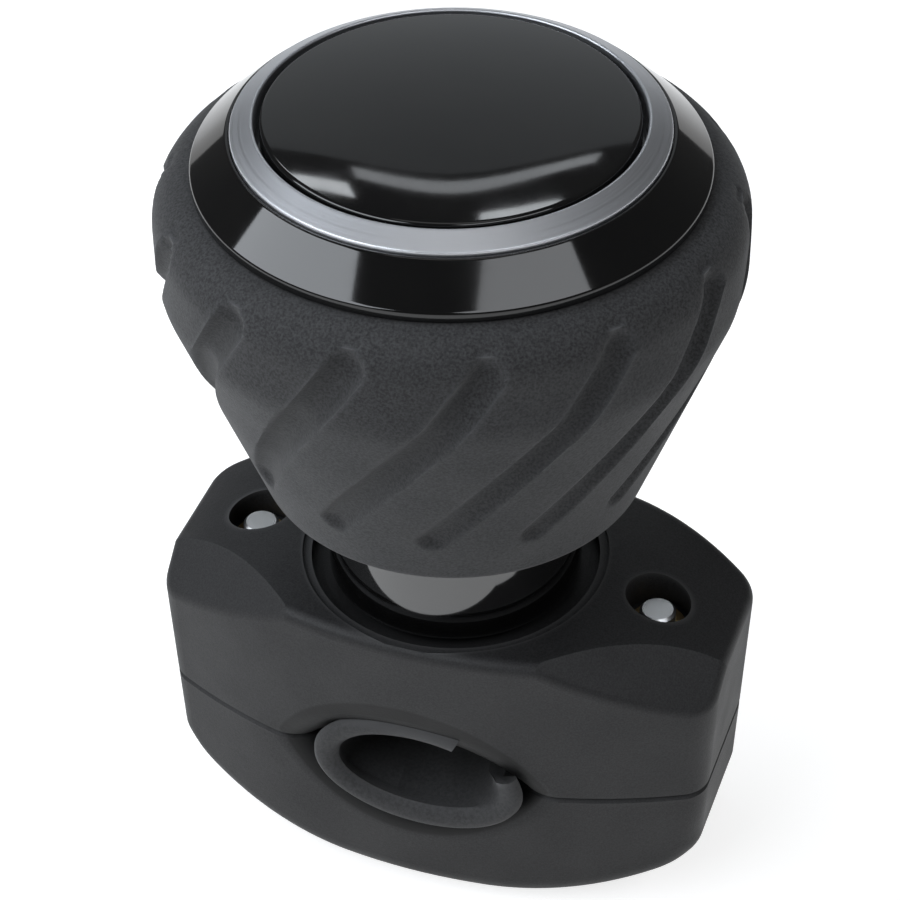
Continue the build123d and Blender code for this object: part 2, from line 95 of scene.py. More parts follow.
def object_place(tree):
    """Coordinates of the object itself, where one unit is a metre."""
    return tree.nodes.new("ShaderNodeTexCoord").outputs["Object"]


def noise(tree, scale, detail=2.0, rough=0.5, vector=None):
    """A noise texture, in object coordinates unless a vector is given."""
    texture = tree.nodes.new("ShaderNodeTexNoise")
    texture.inputs["Scale"].default_value = scale
    texture.inputs["Detail"].default_value = detail
    texture.inputs["Roughness"].default_value = rough
    tree.links.new(object_place(tree) if vector is None else vector, texture.inputs["Vector"])
    return texture.outputs["Fac"]


def ramp(tree, value, *stops):
    """Blend a value between two stops, each (position, grey) or (position, (r, g, b))."""
    node = tree.nodes.new("ShaderNodeValToRGB")
    for element, (position, colour) in zip(node.color_ramp.elements, stops):
        element.position = position
        element.color = (*colour, 1) if isinstance(colour, tuple) else (colour, colour, colour, 1)
    tree.links.new(value, node.inputs["Fac"])
    return node.outputs["Color"]


def mixed(tree, blend, factor, first, second):
    """Two colours mixed in a blend mode; each input is a node's output or a plain value."""
    node = tree.nodes.new("ShaderNodeMix")
    node.data_type = "RGBA"
    node.blend_type = blend
    for value, socket in ((factor, "Factor"), (first, "A"), (second, "B")):
        feed(tree, value, node.inputs[socket])
    return node.outputs["Result"]


def calculated(tree, operation, *values):
    """The result of a math node on outputs or plain numbers."""
    node = tree.nodes.new("ShaderNodeMath")
    node.operation = operation
    for value, socket in zip(values, node.inputs):
        feed(tree, value, socket)
    return node.outputs["Value"]


def remapped(tree, value, to_min, to_max, from_min=0.0, from_max=1.0):
    """A value moved from one range to another, and kept inside it."""
    node = tree.nodes.new("ShaderNodeMapRange")
    node.inputs["From Min"].default_value = from_min
    node.inputs["From Max"].default_value = from_max
    node.inputs["To Min"].default_value = to_min
    node.inputs["To Max"].default_value = to_max
    tree.links.new(value, node.inputs["Value"])
    return node.outputs["Result"]


def occlusion(tree, reach, inside=False):
    """How open a surface is within a reach in millimetres; inside, how thick the material behind it is."""
    node = tree.nodes.new("ShaderNodeAmbientOcclusion")
    node.samples = OCCLUSION_RAYS
    node.inside = inside
    node.inputs["Distance"].default_value = reach * MM
    return node.outputs["AO"]


def bump(tree, shader, *layers):
    """Give a shader a chain of bumps, each (height output, strength, depth in millimetres)."""
    normal = None
    for height, strength, depth in layers:
        node = tree.nodes.new("ShaderNodeBump")
        node.inputs["Strength"].default_value = strength
        node.inputs["Distance"].default_value = depth * MM
        tree.links.new(height, node.inputs["Height"])
        if normal is not None:
            tree.links.new(normal, node.inputs["Normal"])
        normal = node.outputs["Normal"]
    tree.links.new(normal, shader.inputs["Normal"])


# Edge wear with a painted highlight, and painted shade, that follow the shape
RECESS_SPECULAR = 0.4
# Paler edges where little material lies behind the surface: wear and a painted highlight together
WORN_AND_LIT_BELOW, WHOLE_ABOVE = 0.5, 0.92
# Painted shade: the colour darkens where little is open round the surface
CLOSED_BELOW, OPEN_ABOVE = 0.3, 0.85
# Painted shadow inside the clamp's mouths, where the gap round the sleeve lies in shade
MOUTH_HALF_WIDTH, MOUTH_HALF_HEIGHT = 16.0, 10.0
MOUTH_X, MOUTH_Z = -0.3, 18.3
MOUTH_EDGE, MOUTH_SHADE = 0.35, 0.1


def edge_wear_and_highlight(tree, colour, worn_and_lit, reach):
    """Blend a colour into a paler one along edges, where little material lies behind the surface: wear
    together with a painted highlight.
    """
    mask = ramp(tree, occlusion(tree, reach, inside=True), (WORN_AND_LIT_BELOW, 1.0), (WHOLE_ABOVE, 0.0))
    return mixed(tree, "MIX", mask, colour, (*worn_and_lit, 1))


def mouth_shade(tree):
    """Painted shade for the shadow gap round the sleeve: falls to MOUTH_SHADE inside the eye-shaped mouths
    of the clamp's opening, and is 1 elsewhere.
    """
    across = tree.nodes.new("ShaderNodeVectorMath")
    across.operation = "MULTIPLY"
    across.inputs[1].default_value = (1, 0, 1)
    tree.links.new(object_place(tree), across.inputs[0])
    bend = (MOUTH_HALF_WIDTH**2 + MOUTH_HALF_HEIGHT**2) / (2 * MOUTH_HALF_HEIGHT)
    reaches = []
    for side in (-1, 1):
        reach = tree.nodes.new("ShaderNodeVectorMath")
        reach.operation = "DISTANCE"
        reach.inputs[1].default_value = (MOUTH_X * MM, 0, (MOUTH_Z + side * (bend - MOUTH_HALF_HEIGHT)) * MM)
        tree.links.new(across.outputs["Vector"], reach.inputs[0])
        reaches.append(reach.outputs["Value"])
    farther = calculated(tree, "MAXIMUM", *reaches)
    return remapped(tree, farther, MOUTH_SHADE, 1.0, (bend - MOUTH_EDGE) * MM, bend * MM)


def shaded_recess(tree, shader, colour, reach, deep, extra=None):
    """Give a shader its colour with painted shade: darkened to a share of itself in narrow recesses and by
    an extra painted shade.
    """
    shade = ramp(tree, occlusion(tree, reach), (CLOSED_BELOW, deep), (OPEN_ABOVE, 1.0))
    if extra is not None:
        shade = calculated(tree, "MULTIPLY", shade, extra)
    tree.links.new(mixed(tree, "MULTIPLY", 1.0, colour, shade), shader.inputs["Base Color"])
    shader.inputs["Specular IOR Level"].default_value = RECESS_SPECULAR


# Materials: noise scales are per metre, depths and reaches in millimetres
def gloss_black_material(name, index):
    """Polished black plastic: faint moulding waves, fine wipe marks and a trace of dust."""
    material, tree, shader = new_material(name)
    cloud = noise(tree, scale=140, detail=3)
    tint = ramp(tree, cloud, (0.3, (0.0035, 0.0035, 0.0038)), (0.75, (0.0055, 0.0054, 0.0053)))
    tree.links.new(tint, shader.inputs["Base Color"])
    wipe = noise(tree, scale=90, detail=6, rough=0.7)
    tree.links.new(ramp(tree, wipe, (0.35, 0.045), (0.7, 0.10)), shader.inputs["Roughness"])
    shader.inputs["IOR"].default_value = index
    shader.inputs["Coat Weight"].default_value = 0.35
    shader.inputs["Coat Roughness"].default_value = 0.04
    wave, dust = noise(tree, scale=60), noise(tree, scale=5200, detail=1)
    bump(tree, shader, (wave, 0.05, 0.25), (dust, 0.02, 0.02))
    return material


def rubber_material(name, dark, light, grain, rough, depth, wear_and_highlight, reach, deep):
    """Matte rubber: fine grain in bump and colour, slow mottling, paler edges for wear and a painted
    highlight, painted shade in recesses.
    """
    material, tree, shader = new_material(name)
    fine = noise(tree, scale=grain, detail=3, rough=0.65)
    slow = noise(tree, scale=160, detail=3)
    base = ramp(tree, fine, (0.35, dark), (0.62, light))
    mottled = mixed(tree, "MULTIPLY", 0.5, base, ramp(tree, slow, (0.3, 0.8), (0.7, 1.0)))
    # Paler edge colour: wear together with a painted highlight along the groove edges
    pale = tuple(min(1.0, wear_and_highlight * channel) for channel in light)
    worn_and_lit = edge_wear_and_highlight(tree, mottled, pale, reach=0.9)
    # Painted shade in recesses
    shaded_recess(tree, shader, worn_and_lit, reach, deep)
    tree.links.new(ramp(tree, slow, (0.3, rough - 0.05), (0.7, rough + 0.07)), shader.inputs["Roughness"])
    shader.inputs["Sheen Weight"].default_value = 0.12
    shader.inputs["Sheen Roughness"].default_value = 0.5
    coarse = noise(tree, scale=grain * 0.28)
    bump(tree, shader, (fine, 0.55, depth), (coarse, 0.3, depth))
    return material


def clamp_plastic_material(name):
    """Matte black nylon with the fine texture of a spark-eroded mould, with painted shade in recesses and a
    painted shadow inside the mouths.
    """
    material, tree, shader = new_material(name)
    grain = noise(tree, scale=5200, detail=3, rough=0.6)
    slow = noise(tree, scale=110, detail=4)
    base = ramp(tree, grain, (0.35, (0.012, 0.012, 0.0127)), (0.65, (0.027, 0.027, 0.0281)))
    # Paler edges: wear together with a painted highlight
    worn_and_lit = edge_wear_and_highlight(tree, base, (0.045, 0.045, 0.046), reach=0.8)
    # The clamp's colour gets painted shade in recesses and a painted shadow inside the mouths
    shaded_recess(tree, shader, worn_and_lit, reach=3.0, deep=0.35, extra=mouth_shade(tree))
    tree.links.new(ramp(tree, slow, (0.3, 0.48), (0.7, 0.6)), shader.inputs["Roughness"])
    coarse = noise(tree, scale=1700)
    bump(tree, shader, (grain, 0.45, 0.05), (coarse, 0.25, 0.06))
    return material


def turned_lines(tree):
    """Fine noise drawn out round the spindle's axis, as a lathe leaves it."""
    split = tree.nodes.new("ShaderNodeSeparateXYZ")
    tree.links.new(object_place(tree), split.inputs["Vector"])
    flat = tree.nodes.new("ShaderNodeCombineXYZ")
    tree.links.new(split.outputs["X"], flat.inputs["X"])
    tree.links.new(split.outputs["Y"], flat.inputs["Y"])
    radius = tree.nodes.new("ShaderNodeVectorMath")
    radius.operation = "LENGTH"
    tree.links.new(flat.outputs["Vector"], radius.inputs[0])
    rings = tree.nodes.new("ShaderNodeCombineXYZ")
    tree.links.new(radius.outputs["Value"], rings.inputs["X"])
    tree.links.new(split.outputs["Z"], rings.inputs["Y"])
    return noise(tree, scale=9000, detail=3, rough=0.6, vector=rings.outputs["Vector"])


def metal_material(name, colour, rough, turned, blotch):
    """Turned metal with slow tone changes and fine lines that run round the spindle's axis."""
    material, tree, shader = new_material(name)
    slow = noise(tree, scale=240, detail=4)
    dark = tuple(channel * (1 - blotch) for channel in colour)
    tree.links.new(ramp(tree, slow, (0.3, dark), (0.7, colour)), shader.inputs["Base Color"])
    shader.inputs["Metallic"].default_value = 1.0
    lines = turned_lines(tree)
    tree.links.new(ramp(tree, lines, (0.3, rough - 0.06), (0.7, rough + 0.08)), shader.inputs["Roughness"])
    grain = noise(tree, scale=2600)
    bump(tree, shader, (grain, 0.12, 0.02), (lines, turned, 0.02))
    return material


def plain_nylon_material(name, colour, rough):
    """Nylon in its own colour: slightly cloudy and waxy."""
    material, tree, shader = new_material(name)
    slow = noise(tree, scale=300, detail=3)
    pale = tuple(min(1.0, 1.12 * channel) for channel in colour)
    tree.links.new(ramp(tree, slow, (0.3, colour), (0.7, pale)), shader.inputs["Base Color"])
    tree.links.new(ramp(tree, slow, (0.3, rough - 0.05), (0.7, rough + 0.05)), shader.inputs["Roughness"])
    shader.inputs["Subsurface Weight"].default_value = 0.1
    shader.inputs["Subsurface Scale"].default_value = 0.8 * MM
    grain = noise(tree, scale=3000)
    bump(tree, shader, (grain, 0.15, 0.03))
    return material


materials = {
    "gloss_black": gloss_black_material("gloss_black_plastic", index=1.5),
    "neck_gloss": gloss_black_material("neck_gloss", index=2.0),
    "grip_rubber": rubber_material(
        "grip_rubber", dark=(0.014, 0.0142, 0.0152), light=(0.052, 0.0525, 0.055),
        grain=3600, rough=0.72, depth=0.07, wear_and_highlight=2.0, reach=4, deep=0.7,
    ),
    "sleeve_rubber": rubber_material(
        "sleeve_rubber", dark=(0.031, 0.031, 0.032), light=(0.053, 0.053, 0.0545),
        grain=2600, rough=0.66, depth=0.03, wear_and_highlight=1.2, reach=9, deep=0.15,
    ),
    "clamp_plastic": clamp_plastic_material("clamp_plastic"),
    "trim_metal": metal_material("trim_metal", (0.80, 0.82, 0.86), rough=0.42, turned=0.22, blotch=0.03),
    "zinc_steel": metal_material("zinc_steel", (0.70, 0.71, 0.72), rough=0.32, turned=0.1, blotch=0.12),
    "bearing_steel": metal_material(
        "bearing_steel", (0.68, 0.68, 0.69), rough=0.16, turned=0.08, blotch=0.04,
    ),
    "insert_brass": metal_material("insert_brass", (0.78, 0.58, 0.29), rough=0.34, turned=0.1, blotch=0.1),
    "nylon": plain_nylon_material("nylon", (0.72, 0.72, 0.69), rough=0.42),
    "cage_nylon": plain_nylon_material("cage_nylon", (0.50, 0.40, 0.26), rough=0.45),
}
slot_of = {part["node"]: part["material_slot"] for part in frame["record"]["subparts"]}
for node, slot in slot_of.items():
    obj = frame["nodes"][node]
    obj.data.materials.clear()
    obj.data.materials.append(materials[slot])


# Meshes: profiles are (radius, height) in millimetres
ROUND_STEPS, EASE, EASE_SHARE = 6, 0.12, 0.3
FINE, COARSE = 256, 192
ON_AXIS = 1e-6


def link(obj, body, slot, *nodes, finish=None):
    """Put a new piece in the scene on its body, in its finish, in place of CAD nodes."""
    bpy.context.scene.collection.objects.link(obj)
    obj.data.materials.append(materials[finish or slot])
    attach(obj, body)
    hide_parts(*nodes)


def smooth(mesh, angle):
    """Smooth shading, with edges sharper than the angle in degrees kept."""
    mesh.polygons.foreach_set("use_smooth", [True] * len(mesh.polygons))
    mesh.set_sharp_from_angle(angle=radians(angle))


def rounded(corners, steps=ROUND_STEPS):
    """A closed profile with arcs: corners are (radius, height) or (radius, height, size of the round).

    A short flat stretch on both sides of an arc keeps the shading of the faces next to it even.
    """
    out = []
    for i, corner in enumerate(corners):
        here = Vector(corner[:2])
        if len(corner) == 2:
            out.append(here)
            continue
        size = corner[2]
        before = (Vector(corners[i - 1][:2]) - here).normalized()
        after = (Vector(corners[(i + 1) % len(corners)][:2]) - here).normalized()
        half = before.angle(after) / 2
        reach = size / tan(half)
        centre = here + (before + after).normalized() * size / sin(half)
        start, end = here + before * reach, here + after * reach
        first, last = start - centre, end - centre
        sweep = first.angle(last)
        ease = min(EASE, size * EASE_SHARE)
        out.append(start + before * ease)
        for step in range(steps + 1):
            share = step / steps
            out.append(centre + (sin((1 - share) * sweep) * first + sin(share * sweep) * last) / sin(sweep))
        out.append(end + after * ease)
    return out


def lathe(name, profile, segments, closed=True):
    """Turn a profile about the spindle's axis into a mesh object; a closed profile ends where it starts."""
    bm = bmesh.new()
    turns = [2 * pi * k / segments for k in range(segments)]
    rings = []
    for radius, height in profile:
        if radius < ON_AXIS:
            rings.append([bm.verts.new((0, 0, height * MM))])
        else:
            ring = [(radius * MM * cos(turn), radius * MM * sin(turn), height * MM) for turn in turns]
            rings.append([bm.verts.new(point) for point in ring])
    pairs = list(zip(rings, rings[1:])) + ([(rings[-1], rings[0])] if closed else [])
    for low, high in pairs:
        for k in range(segments):
            n = (k + 1) % segments
            quad = [low[k % len(low)], low[n % len(low)], high[n % len(high)], high[k % len(high)]]
            corners = list(dict.fromkeys(quad))
            if len(corners) > 2:
                bm.faces.new(corners)
    bmesh.ops.recalc_face_normals(bm, faces=bm.faces)
    mesh = bpy.data.meshes.new(name)
    bm.to_mesh(mesh)
    bm.free()
    smooth(mesh, 30)
    return bpy.data.objects.new(name, mesh)


# Knob: sizes in millimetres, as in the CAD unless a comment says otherwise
FIT = 0.1
KNOB_TOP, DECK, GRIP_TOP, SEAT_TOP, SEAT_FOOT, GRIP_FOOT = 95.9, 91.6, 88.1, 87.6, 76.0, 50.7
SEAT_RADIUS, SHOULDER_RADIUS, SHOULDER_HEIGHT = 24.5, 15.0, 53.7
CAP_RADIUS, CAP_RISE, CAP_EDGE, CAP_UNDERSIDE, DOME_STEPS = 18.91, 1.7, 0.9, 92.4, 28
SKIRT_OUTER, SKIRT_INNER, SKIRT_FOOT = 17.51, 16.01, 86.5
SKIRT_BORE = SKIRT_OUTER + FIT
TRIM_OUTER, TRIM_INNER, TRIM_OUTER_TOP, TRIM_INNER_TOP = 21.86, 19.46, 93.1, 94.4
BEZEL_OUTER, BEZEL_WALL_TOP, BEZEL_LIP, BEZEL_TOP = 26.05, 89.1, 22.3, 92.7
BEZEL_BORE = TRIM_OUTER + FIT
BEARING_BORE, LEDGE_BORE, LEDGE_FOOT, LEDGE_TOP = 11.0, 9.0, 45.2, 70.0
NUT_BORE, NUT_FLOOR, SKIRT_FLOOR = 13.0, 77.0, 80.0
GRIP_BORE, GRIP_BORE_TOP = 13.4, 51.7
# The neck is a straight cylinder here, as wide as the photograph shows it
NECK_RADIUS, NECK_FOOT = 13.9, 36.4


def cap_dome():
    """Domed cap with the skirt that plugs it into the hub."""
    sphere = (CAP_RADIUS**2 + CAP_RISE**2) / (2 * CAP_RISE)
    reach = np.linspace(0, CAP_RADIUS - CAP_EDGE, DOME_STEPS)
    dome = [(r, KNOB_TOP - sphere + sqrt(sphere**2 - r * r)) for r in reach]
    side = rounded([
        dome[-1], (CAP_RADIUS, KNOB_TOP - CAP_RISE, 0.45), (CAP_RADIUS, DECK), (SKIRT_OUTER, DECK),
        (SKIRT_OUTER, SKIRT_FOOT, 0.2), (SKIRT_INNER, SKIRT_FOOT, 0.2), (SKIRT_INNER, CAP_UNDERSIDE, 0.3),
    ])
    return lathe("cap_dome", dome + side[1:] + [(0, CAP_UNDERSIDE)], COARSE, closed=False)


def trim_band():
    """Metal ring with a sloping top between cap and bezel."""
    return lathe("trim_band", rounded([
        (TRIM_INNER, DECK), (TRIM_OUTER, DECK), (TRIM_OUTER, TRIM_OUTER_TOP, 0.22),
        (TRIM_INNER, TRIM_INNER_TOP, 0.22),
    ]), FINE)


def bezel_ring():
    """Conical gloss ring that carries the trim ring and covers the grip's upper edge."""
    return lathe("bezel_ring", rounded([
        (SKIRT_BORE, SEAT_TOP), (SEAT_RADIUS, SEAT_TOP), (SEAT_RADIUS, GRIP_TOP),
        (BEZEL_OUTER, GRIP_TOP, 0.15), (BEZEL_OUTER, BEZEL_WALL_TOP, 0.45), (BEZEL_LIP, BEZEL_TOP, 0.3),
        (BEZEL_BORE, BEZEL_TOP, 0.1), (BEZEL_BORE, DECK), (SKIRT_BORE, DECK),
    ]), FINE)


def hub_body():
    """Hub with the neck below, the cone that holds the grip, and the bores for bearings, nut and cap."""
    return lathe("hub_body", rounded([
        (LEDGE_BORE, LEDGE_TOP), (LEDGE_BORE, LEDGE_FOOT), (BEARING_BORE, LEDGE_FOOT),
        (BEARING_BORE, NECK_FOOT, 0.3), (NECK_RADIUS, NECK_FOOT, 0.6), (NECK_RADIUS, GRIP_FOOT),
        (NECK_RADIUS, GRIP_BORE_TOP), (SHOULDER_RADIUS, SHOULDER_HEIGHT), (SEAT_RADIUS, SEAT_FOOT),
        (SEAT_RADIUS, SEAT_TOP), (SKIRT_BORE, SEAT_TOP), (SKIRT_BORE, SKIRT_FLOOR), (NUT_BORE, SKIRT_FLOOR),
        (NUT_BORE, NUT_FLOOR), (BEARING_BORE, NUT_FLOOR), (BEARING_BORE, LEDGE_TOP),
    ]), COARSE)


link(cap_dome(), "knob", "gloss_black", "cap")
link(trim_band(), "knob", "trim_metal", "trim_ring")
link(bezel_ring(), "knob", "gloss_black", "bezel")
link(hub_body(), "knob", "gloss_black", "hub", finish="neck_gloss")


# Grip: grooves are cut by a ball that runs down its outside and turns as it goes
GRIP_RADIUS, GRIP_FOOT_RADIUS, GRIP_WAIST = 30.1, 20.35, 77.2
FOOT_ROUND, WAIST_ROUND, TOP_ROUND, WAIST_BLEND = 2.0, 9.0, 5.0, 0.28
GROOVES, BALL_RADIUS, BALL_MARGIN = 14, 2.0, 1.2
GROOVE_TOP, GROOVE_LENGTH, GROOVE_LOWEST, GROOVE_HIGHEST = 84.4, 26.2, 56.5, 87.0
GROOVE_START, GROOVE_TURN, GROOVE_EXTRA_TURN = -39.0, -30.1, -7.3
BALL_OUT, BALL_RUNS_OUT = 0.6, 0.65
GROOVE_EDGE, GROOVE_LEAST, OUTWARD_LEAST = 0.16, 0.012, 0.05
PROFILE_STEP, ARC_STEPS, GROOVE_COLUMNS, PATH_STEPS = 0.3, 14, 40, 240


def surface_radius(height):
    """Outer radius of the plain grip at a height."""
    climb = (height - GRIP_FOOT) / (GRIP_WAIST - GRIP_FOOT)
    cone = GRIP_FOOT_RADIUS + (GRIP_RADIUS - GRIP_FOOT_RADIUS) * climb
    above = max(0.0, height - (GRIP_TOP - TOP_ROUND))
    side = GRIP_RADIUS - TOP_ROUND + sqrt(max(0.0, TOP_ROUND**2 - above * above))
    return 0.5 * (cone + side - sqrt((cone - side) ** 2 + WAIST_BLEND**2))


def groove_angle(share):
    """Angle of a groove about the axis, in radians, at a share of the way down."""
    return radians(GROOVE_START + GROOVE_TURN * share + GROOVE_EXTRA_TURN * share * share)


def groove_point(share):
    """Centre of the ball that cuts a groove, at a share of the way down."""
    height = GROOVE_TOP - GROOVE_LENGTH * share
    radius = surface_radius(height) + BALL_OUT + BALL_RUNS_OUT * share * share
    return (radius * cos(groove_angle(share)), radius * sin(groove_angle(share)), height)


def grip_profile():
    """Points up the outside of the grip in short steps, then down its hidden inner side."""
    outline = rounded([
        (GRIP_BORE, GRIP_FOOT), (GRIP_FOOT_RADIUS, GRIP_FOOT, FOOT_ROUND),
        (GRIP_RADIUS, GRIP_WAIST, WAIST_ROUND), (GRIP_RADIUS, GRIP_TOP, TOP_ROUND),
        (SEAT_RADIUS, GRIP_TOP), (SEAT_RADIUS, SEAT_FOOT), (SHOULDER_RADIUS, SHOULDER_HEIGHT),
        (GRIP_BORE, GRIP_BORE_TOP),
    ], ARC_STEPS)
    points = []
    for here, ahead in zip(outline, outline[1:] + outline[:1]):
        points.append(here)
        if ahead.y > here.y:
            parts = int((ahead - here).length / PROFILE_STEP)
            points += [here.lerp(ahead, k / parts) for k in range(1, parts)]
    return points


def spun(flat, turns):
    """Rows of (radius, height) at each row's angles about the axis, as an array of rows by angles by xyz."""
    heights = np.repeat(flat[:, 1:], turns.shape[1], axis=1)
    return np.stack([flat[:, :1] * np.cos(turns), flat[:, :1] * np.sin(turns), heights], axis=2)


def groove_depth(base, outward):
    """How deep the ball cuts below each point of the plain grip, with softened groove edges."""
    path = np.array([groove_point(share) for share in np.linspace(0, 1, PATH_STEPS)])
    gap = np.linalg.norm(base.reshape(-1, 1, 3) - path, axis=2)
    to_point = base - path[gap.argmin(axis=1)].reshape(base.shape)
    along = (to_point * outward).sum(axis=2)
    aside_squared = (to_point**2).sum(axis=2) - along**2
    depth = np.sqrt(np.maximum(BALL_RADIUS**2 - aside_squared, 0)) + along
    fillet = 0.25 * GROOVE_EDGE * np.exp(-((depth / GROOVE_EDGE) ** 2))
    depth = 0.5 * (depth + np.sqrt(depth**2 + GROOVE_EDGE**2)) - fillet
    depth[aside_squared > (BALL_RADIUS + BALL_MARGIN) ** 2] = 0
    return np.where(depth < GROOVE_LEAST, 0, depth)


def grip_skin():
    """The grooved grip: one sector round a groove, repeated about the axis and closed into one skin."""
    rows = np.array([(point.x, point.y) for point in grip_profile()])
    tangent = np.roll(rows, -1, axis=0) - np.roll(rows, 1, axis=0)
    tangent /= np.linalg.norm(tangent, axis=1)[:, None]
    normal = np.stack([tangent[:, 1], -tangent[:, 0]], axis=1)
    lean = np.array([groove_angle(s) for s in np.clip((GROOVE_TOP - rows[:, 1]) / GROOVE_LENGTH, 0, 1)])
    fan = (np.arange(GROOVE_COLUMNS) / GROOVE_COLUMNS - 0.5) * 2 * pi / GROOVES
    turns = lean[:, None] + fan[None, :]
    base, outward = spun(rows, turns), spun(normal, turns)
    depth = groove_depth(base, outward)
    ends = (rows[:, 1] < GROOVE_LOWEST) | (rows[:, 1] > GROOVE_HIGHEST)
    depth[ends | (normal[:, 0] < OUTWARD_LEAST)] = 0
    cut = base - outward * depth[:, :, None]
    sectors = []
    for groove in range(GROOVES):
        turn = 2 * pi * groove / GROOVES
        sectors.append(cut @ np.array([[cos(turn), sin(turn), 0], [-sin(turn), cos(turn), 0], [0, 0, 1]]))
    verts = np.concatenate(sectors, axis=1)
    count, wide = verts.shape[:2]
    i, k = np.meshgrid(np.arange(count), np.arange(wide), indexing="ij")
    j, n = (i + 1) % count, (k + 1) % wide
    faces = np.stack([i * wide + k, i * wide + n, j * wide + n, j * wide + k], axis=2).reshape(-1, 4)
    mesh = bpy.data.meshes.new("grip_skin")
    mesh.from_pydata((verts.reshape(-1, 3) * MM).tolist(), [], faces.tolist())
    mesh.validate()
    smooth(mesh, 50)
    return bpy.data.objects.new("grip_skin", mesh)


link(grip_skin(), "knob", "grip_rubber", "grip")


# Rubber sleeve: the CAD strip inside, with the swollen lip that the photograph shows at both mouths
PARTING, SLEEVE_STEPS = 17.3, 120
SLEEVE_OPEN_FROM, SLEEVE_OPEN_TO = 20, 65
LIP_FROM, LIP_ASIDE, LIP_RAISED = 15, 0.9, 1.0
# Sections from the middle out and back in: half width, half height, distance from the middle
SLEEVE_OUTSIDE = [(11.0, 5.6, 0), (11.0, 5.6, 14.6)]
SLEEVE_LIP = [
    (11.9, 7.1, 15.6), (12.2, 7.7, 16.1), (12.0, 7.5, 16.6), (11.5, 7.1, 16.95), (10.8, 6.4, 17.0),
    (9.9, 5.5, 16.7), (9.35, 4.9, 16.0),
]
SLEEVE_INSIDE = [(9.0, 4.6, 14.0), (8.4, 3.6, 11.0), (8.35, 3.45, 0)]


def sleeve_skin():
    """A split tube of oval sections, mirrored to both mouths."""
    front = SLEEVE_OUTSIDE + SLEEVE_LIP + SLEEVE_INSIDE
    rings = front + [(across, high, -out) for across, high, out in reversed(front) if out > 0]
    verts = []
    for step in range(SLEEVE_STEPS + 1):
        turn = radians(SLEEVE_OPEN_TO + (360 - SLEEVE_OPEN_TO + SLEEVE_OPEN_FROM) * step / SLEEVE_STEPS)
        for across, high, out in rings:
            aside, raised = (LIP_ASIDE, LIP_RAISED) if abs(out) > LIP_FROM else (0, 0)
            x, z = across * cos(turn) + aside, PARTING + high * sin(turn) + raised
            verts.append((x * MM, out * MM, z * MM))
    wide = len(rings)
    faces = [
        (k * wide + i, k * wide + (i + 1) % wide, (k + 1) * wide + (i + 1) % wide, (k + 1) * wide + i)
        for k in range(SLEEVE_STEPS) for i in range(wide)
    ]
    faces += [tuple(range(wide)), tuple(SLEEVE_STEPS * wide + i for i in reversed(range(wide)))]
    mesh = bpy.data.meshes.new("sleeve_skin")
    mesh.from_pydata(verts, [], faces)
    bm = bmesh.new()
    bm.from_mesh(mesh)
    bmesh.ops.recalc_face_normals(bm, faces=bm.faces)
    bm.to_mesh(mesh)
    bm.free()
    smooth(mesh, 40)
    return bpy.data.objects.new("sleeve_skin", mesh)


link(sleeve_skin(), "clamp", slot_of["rim_sleeve"], "rim_sleeve")


# Lamps and cards: directions are degrees from the front towards +X, and degrees up
LAMP_AIM, CARD_CENTRE = Vector((0, 0, 85)), Vector((0, 0, 95))
BEHIND = 199.5
CARD_TINT = (0.95, 1.0, 1.04, 1)
BOW, BOW_STEPS, LOWEST_RISE = 0.03, 13, 3


def toward(side, rise):
    """The unit vector that points in a direction."""
    side, rise = radians(side), radians(rise)
    return Vector((sin(side) * cos(rise), -cos(side) * cos(rise), sin(rise)))


def soft_box(name, direction, distance, size, radiance, colour):
    """A rectangular lamp that faces the knob and looks this bright, where 1 is white."""
    place = LAMP_AIM + distance * toward(*direction)
    data = bpy.data.lights.new(name, "AREA")
    data.shape = "RECTANGLE"
    data.size, data.size_y = size[0] * MM, size[1] * MM
    data.energy = radiance * pi * size[0] * size[1] * MM * MM
    data.color = colour
    lamp = bpy.data.objects.new(name, data)
    bpy.context.scene.collection.objects.link(lamp)
    lamp.location = place * MM
    lamp.rotation_euler = (LAMP_AIM - place).to_track_quat("-Z", "Y").to_euler()
    return lamp


def card(name, distance, corners, top_glow, foot_glow):
    """A glowing card behind the knob that only reflections see; its sides are as the camera sees them."""
    points = [(CARD_CENTRE + distance * toward(BEHIND - side, rise)) * MM for side, rise in corners]
    mesh = bpy.data.meshes.new(name)
    mesh.from_pydata(points, [], [tuple(range(len(points)))])
    material = bpy.data.materials.new(name)
    material.use_nodes = True
    tree = material.node_tree
    tree.nodes.clear()
    output = tree.nodes.new("ShaderNodeOutputMaterial")
    emission = tree.nodes.new("ShaderNodeEmission")
    emission.inputs["Color"].default_value = CARD_TINT
    split = tree.nodes.new("ShaderNodeSeparateXYZ")
    tree.links.new(tree.nodes.new("ShaderNodeTexCoord").outputs["Generated"], split.inputs["Vector"])
    tree.links.new(remapped(tree, split.outputs["Z"], foot_glow, top_glow), emission.inputs["Strength"])
    tree.links.new(emission.outputs["Emission"], output.inputs["Surface"])
    mesh.materials.append(material)
    obj = bpy.data.objects.new(name, mesh)
    bpy.context.scene.collection.objects.link(obj)
    obj.visible_camera = False
    obj.visible_shadow = False


def bowed(left, right, foot, top):
    """A card's corners between two sides, with foot and top edges that fall off away from the middle."""
    sides = np.linspace(left, right, BOW_STEPS)
    lower = [(side, max(foot - BOW * side * side, LOWEST_RISE)) for side in sides]
    return lower + [(side, top - BOW * side * side) for side in sides[::-1]]


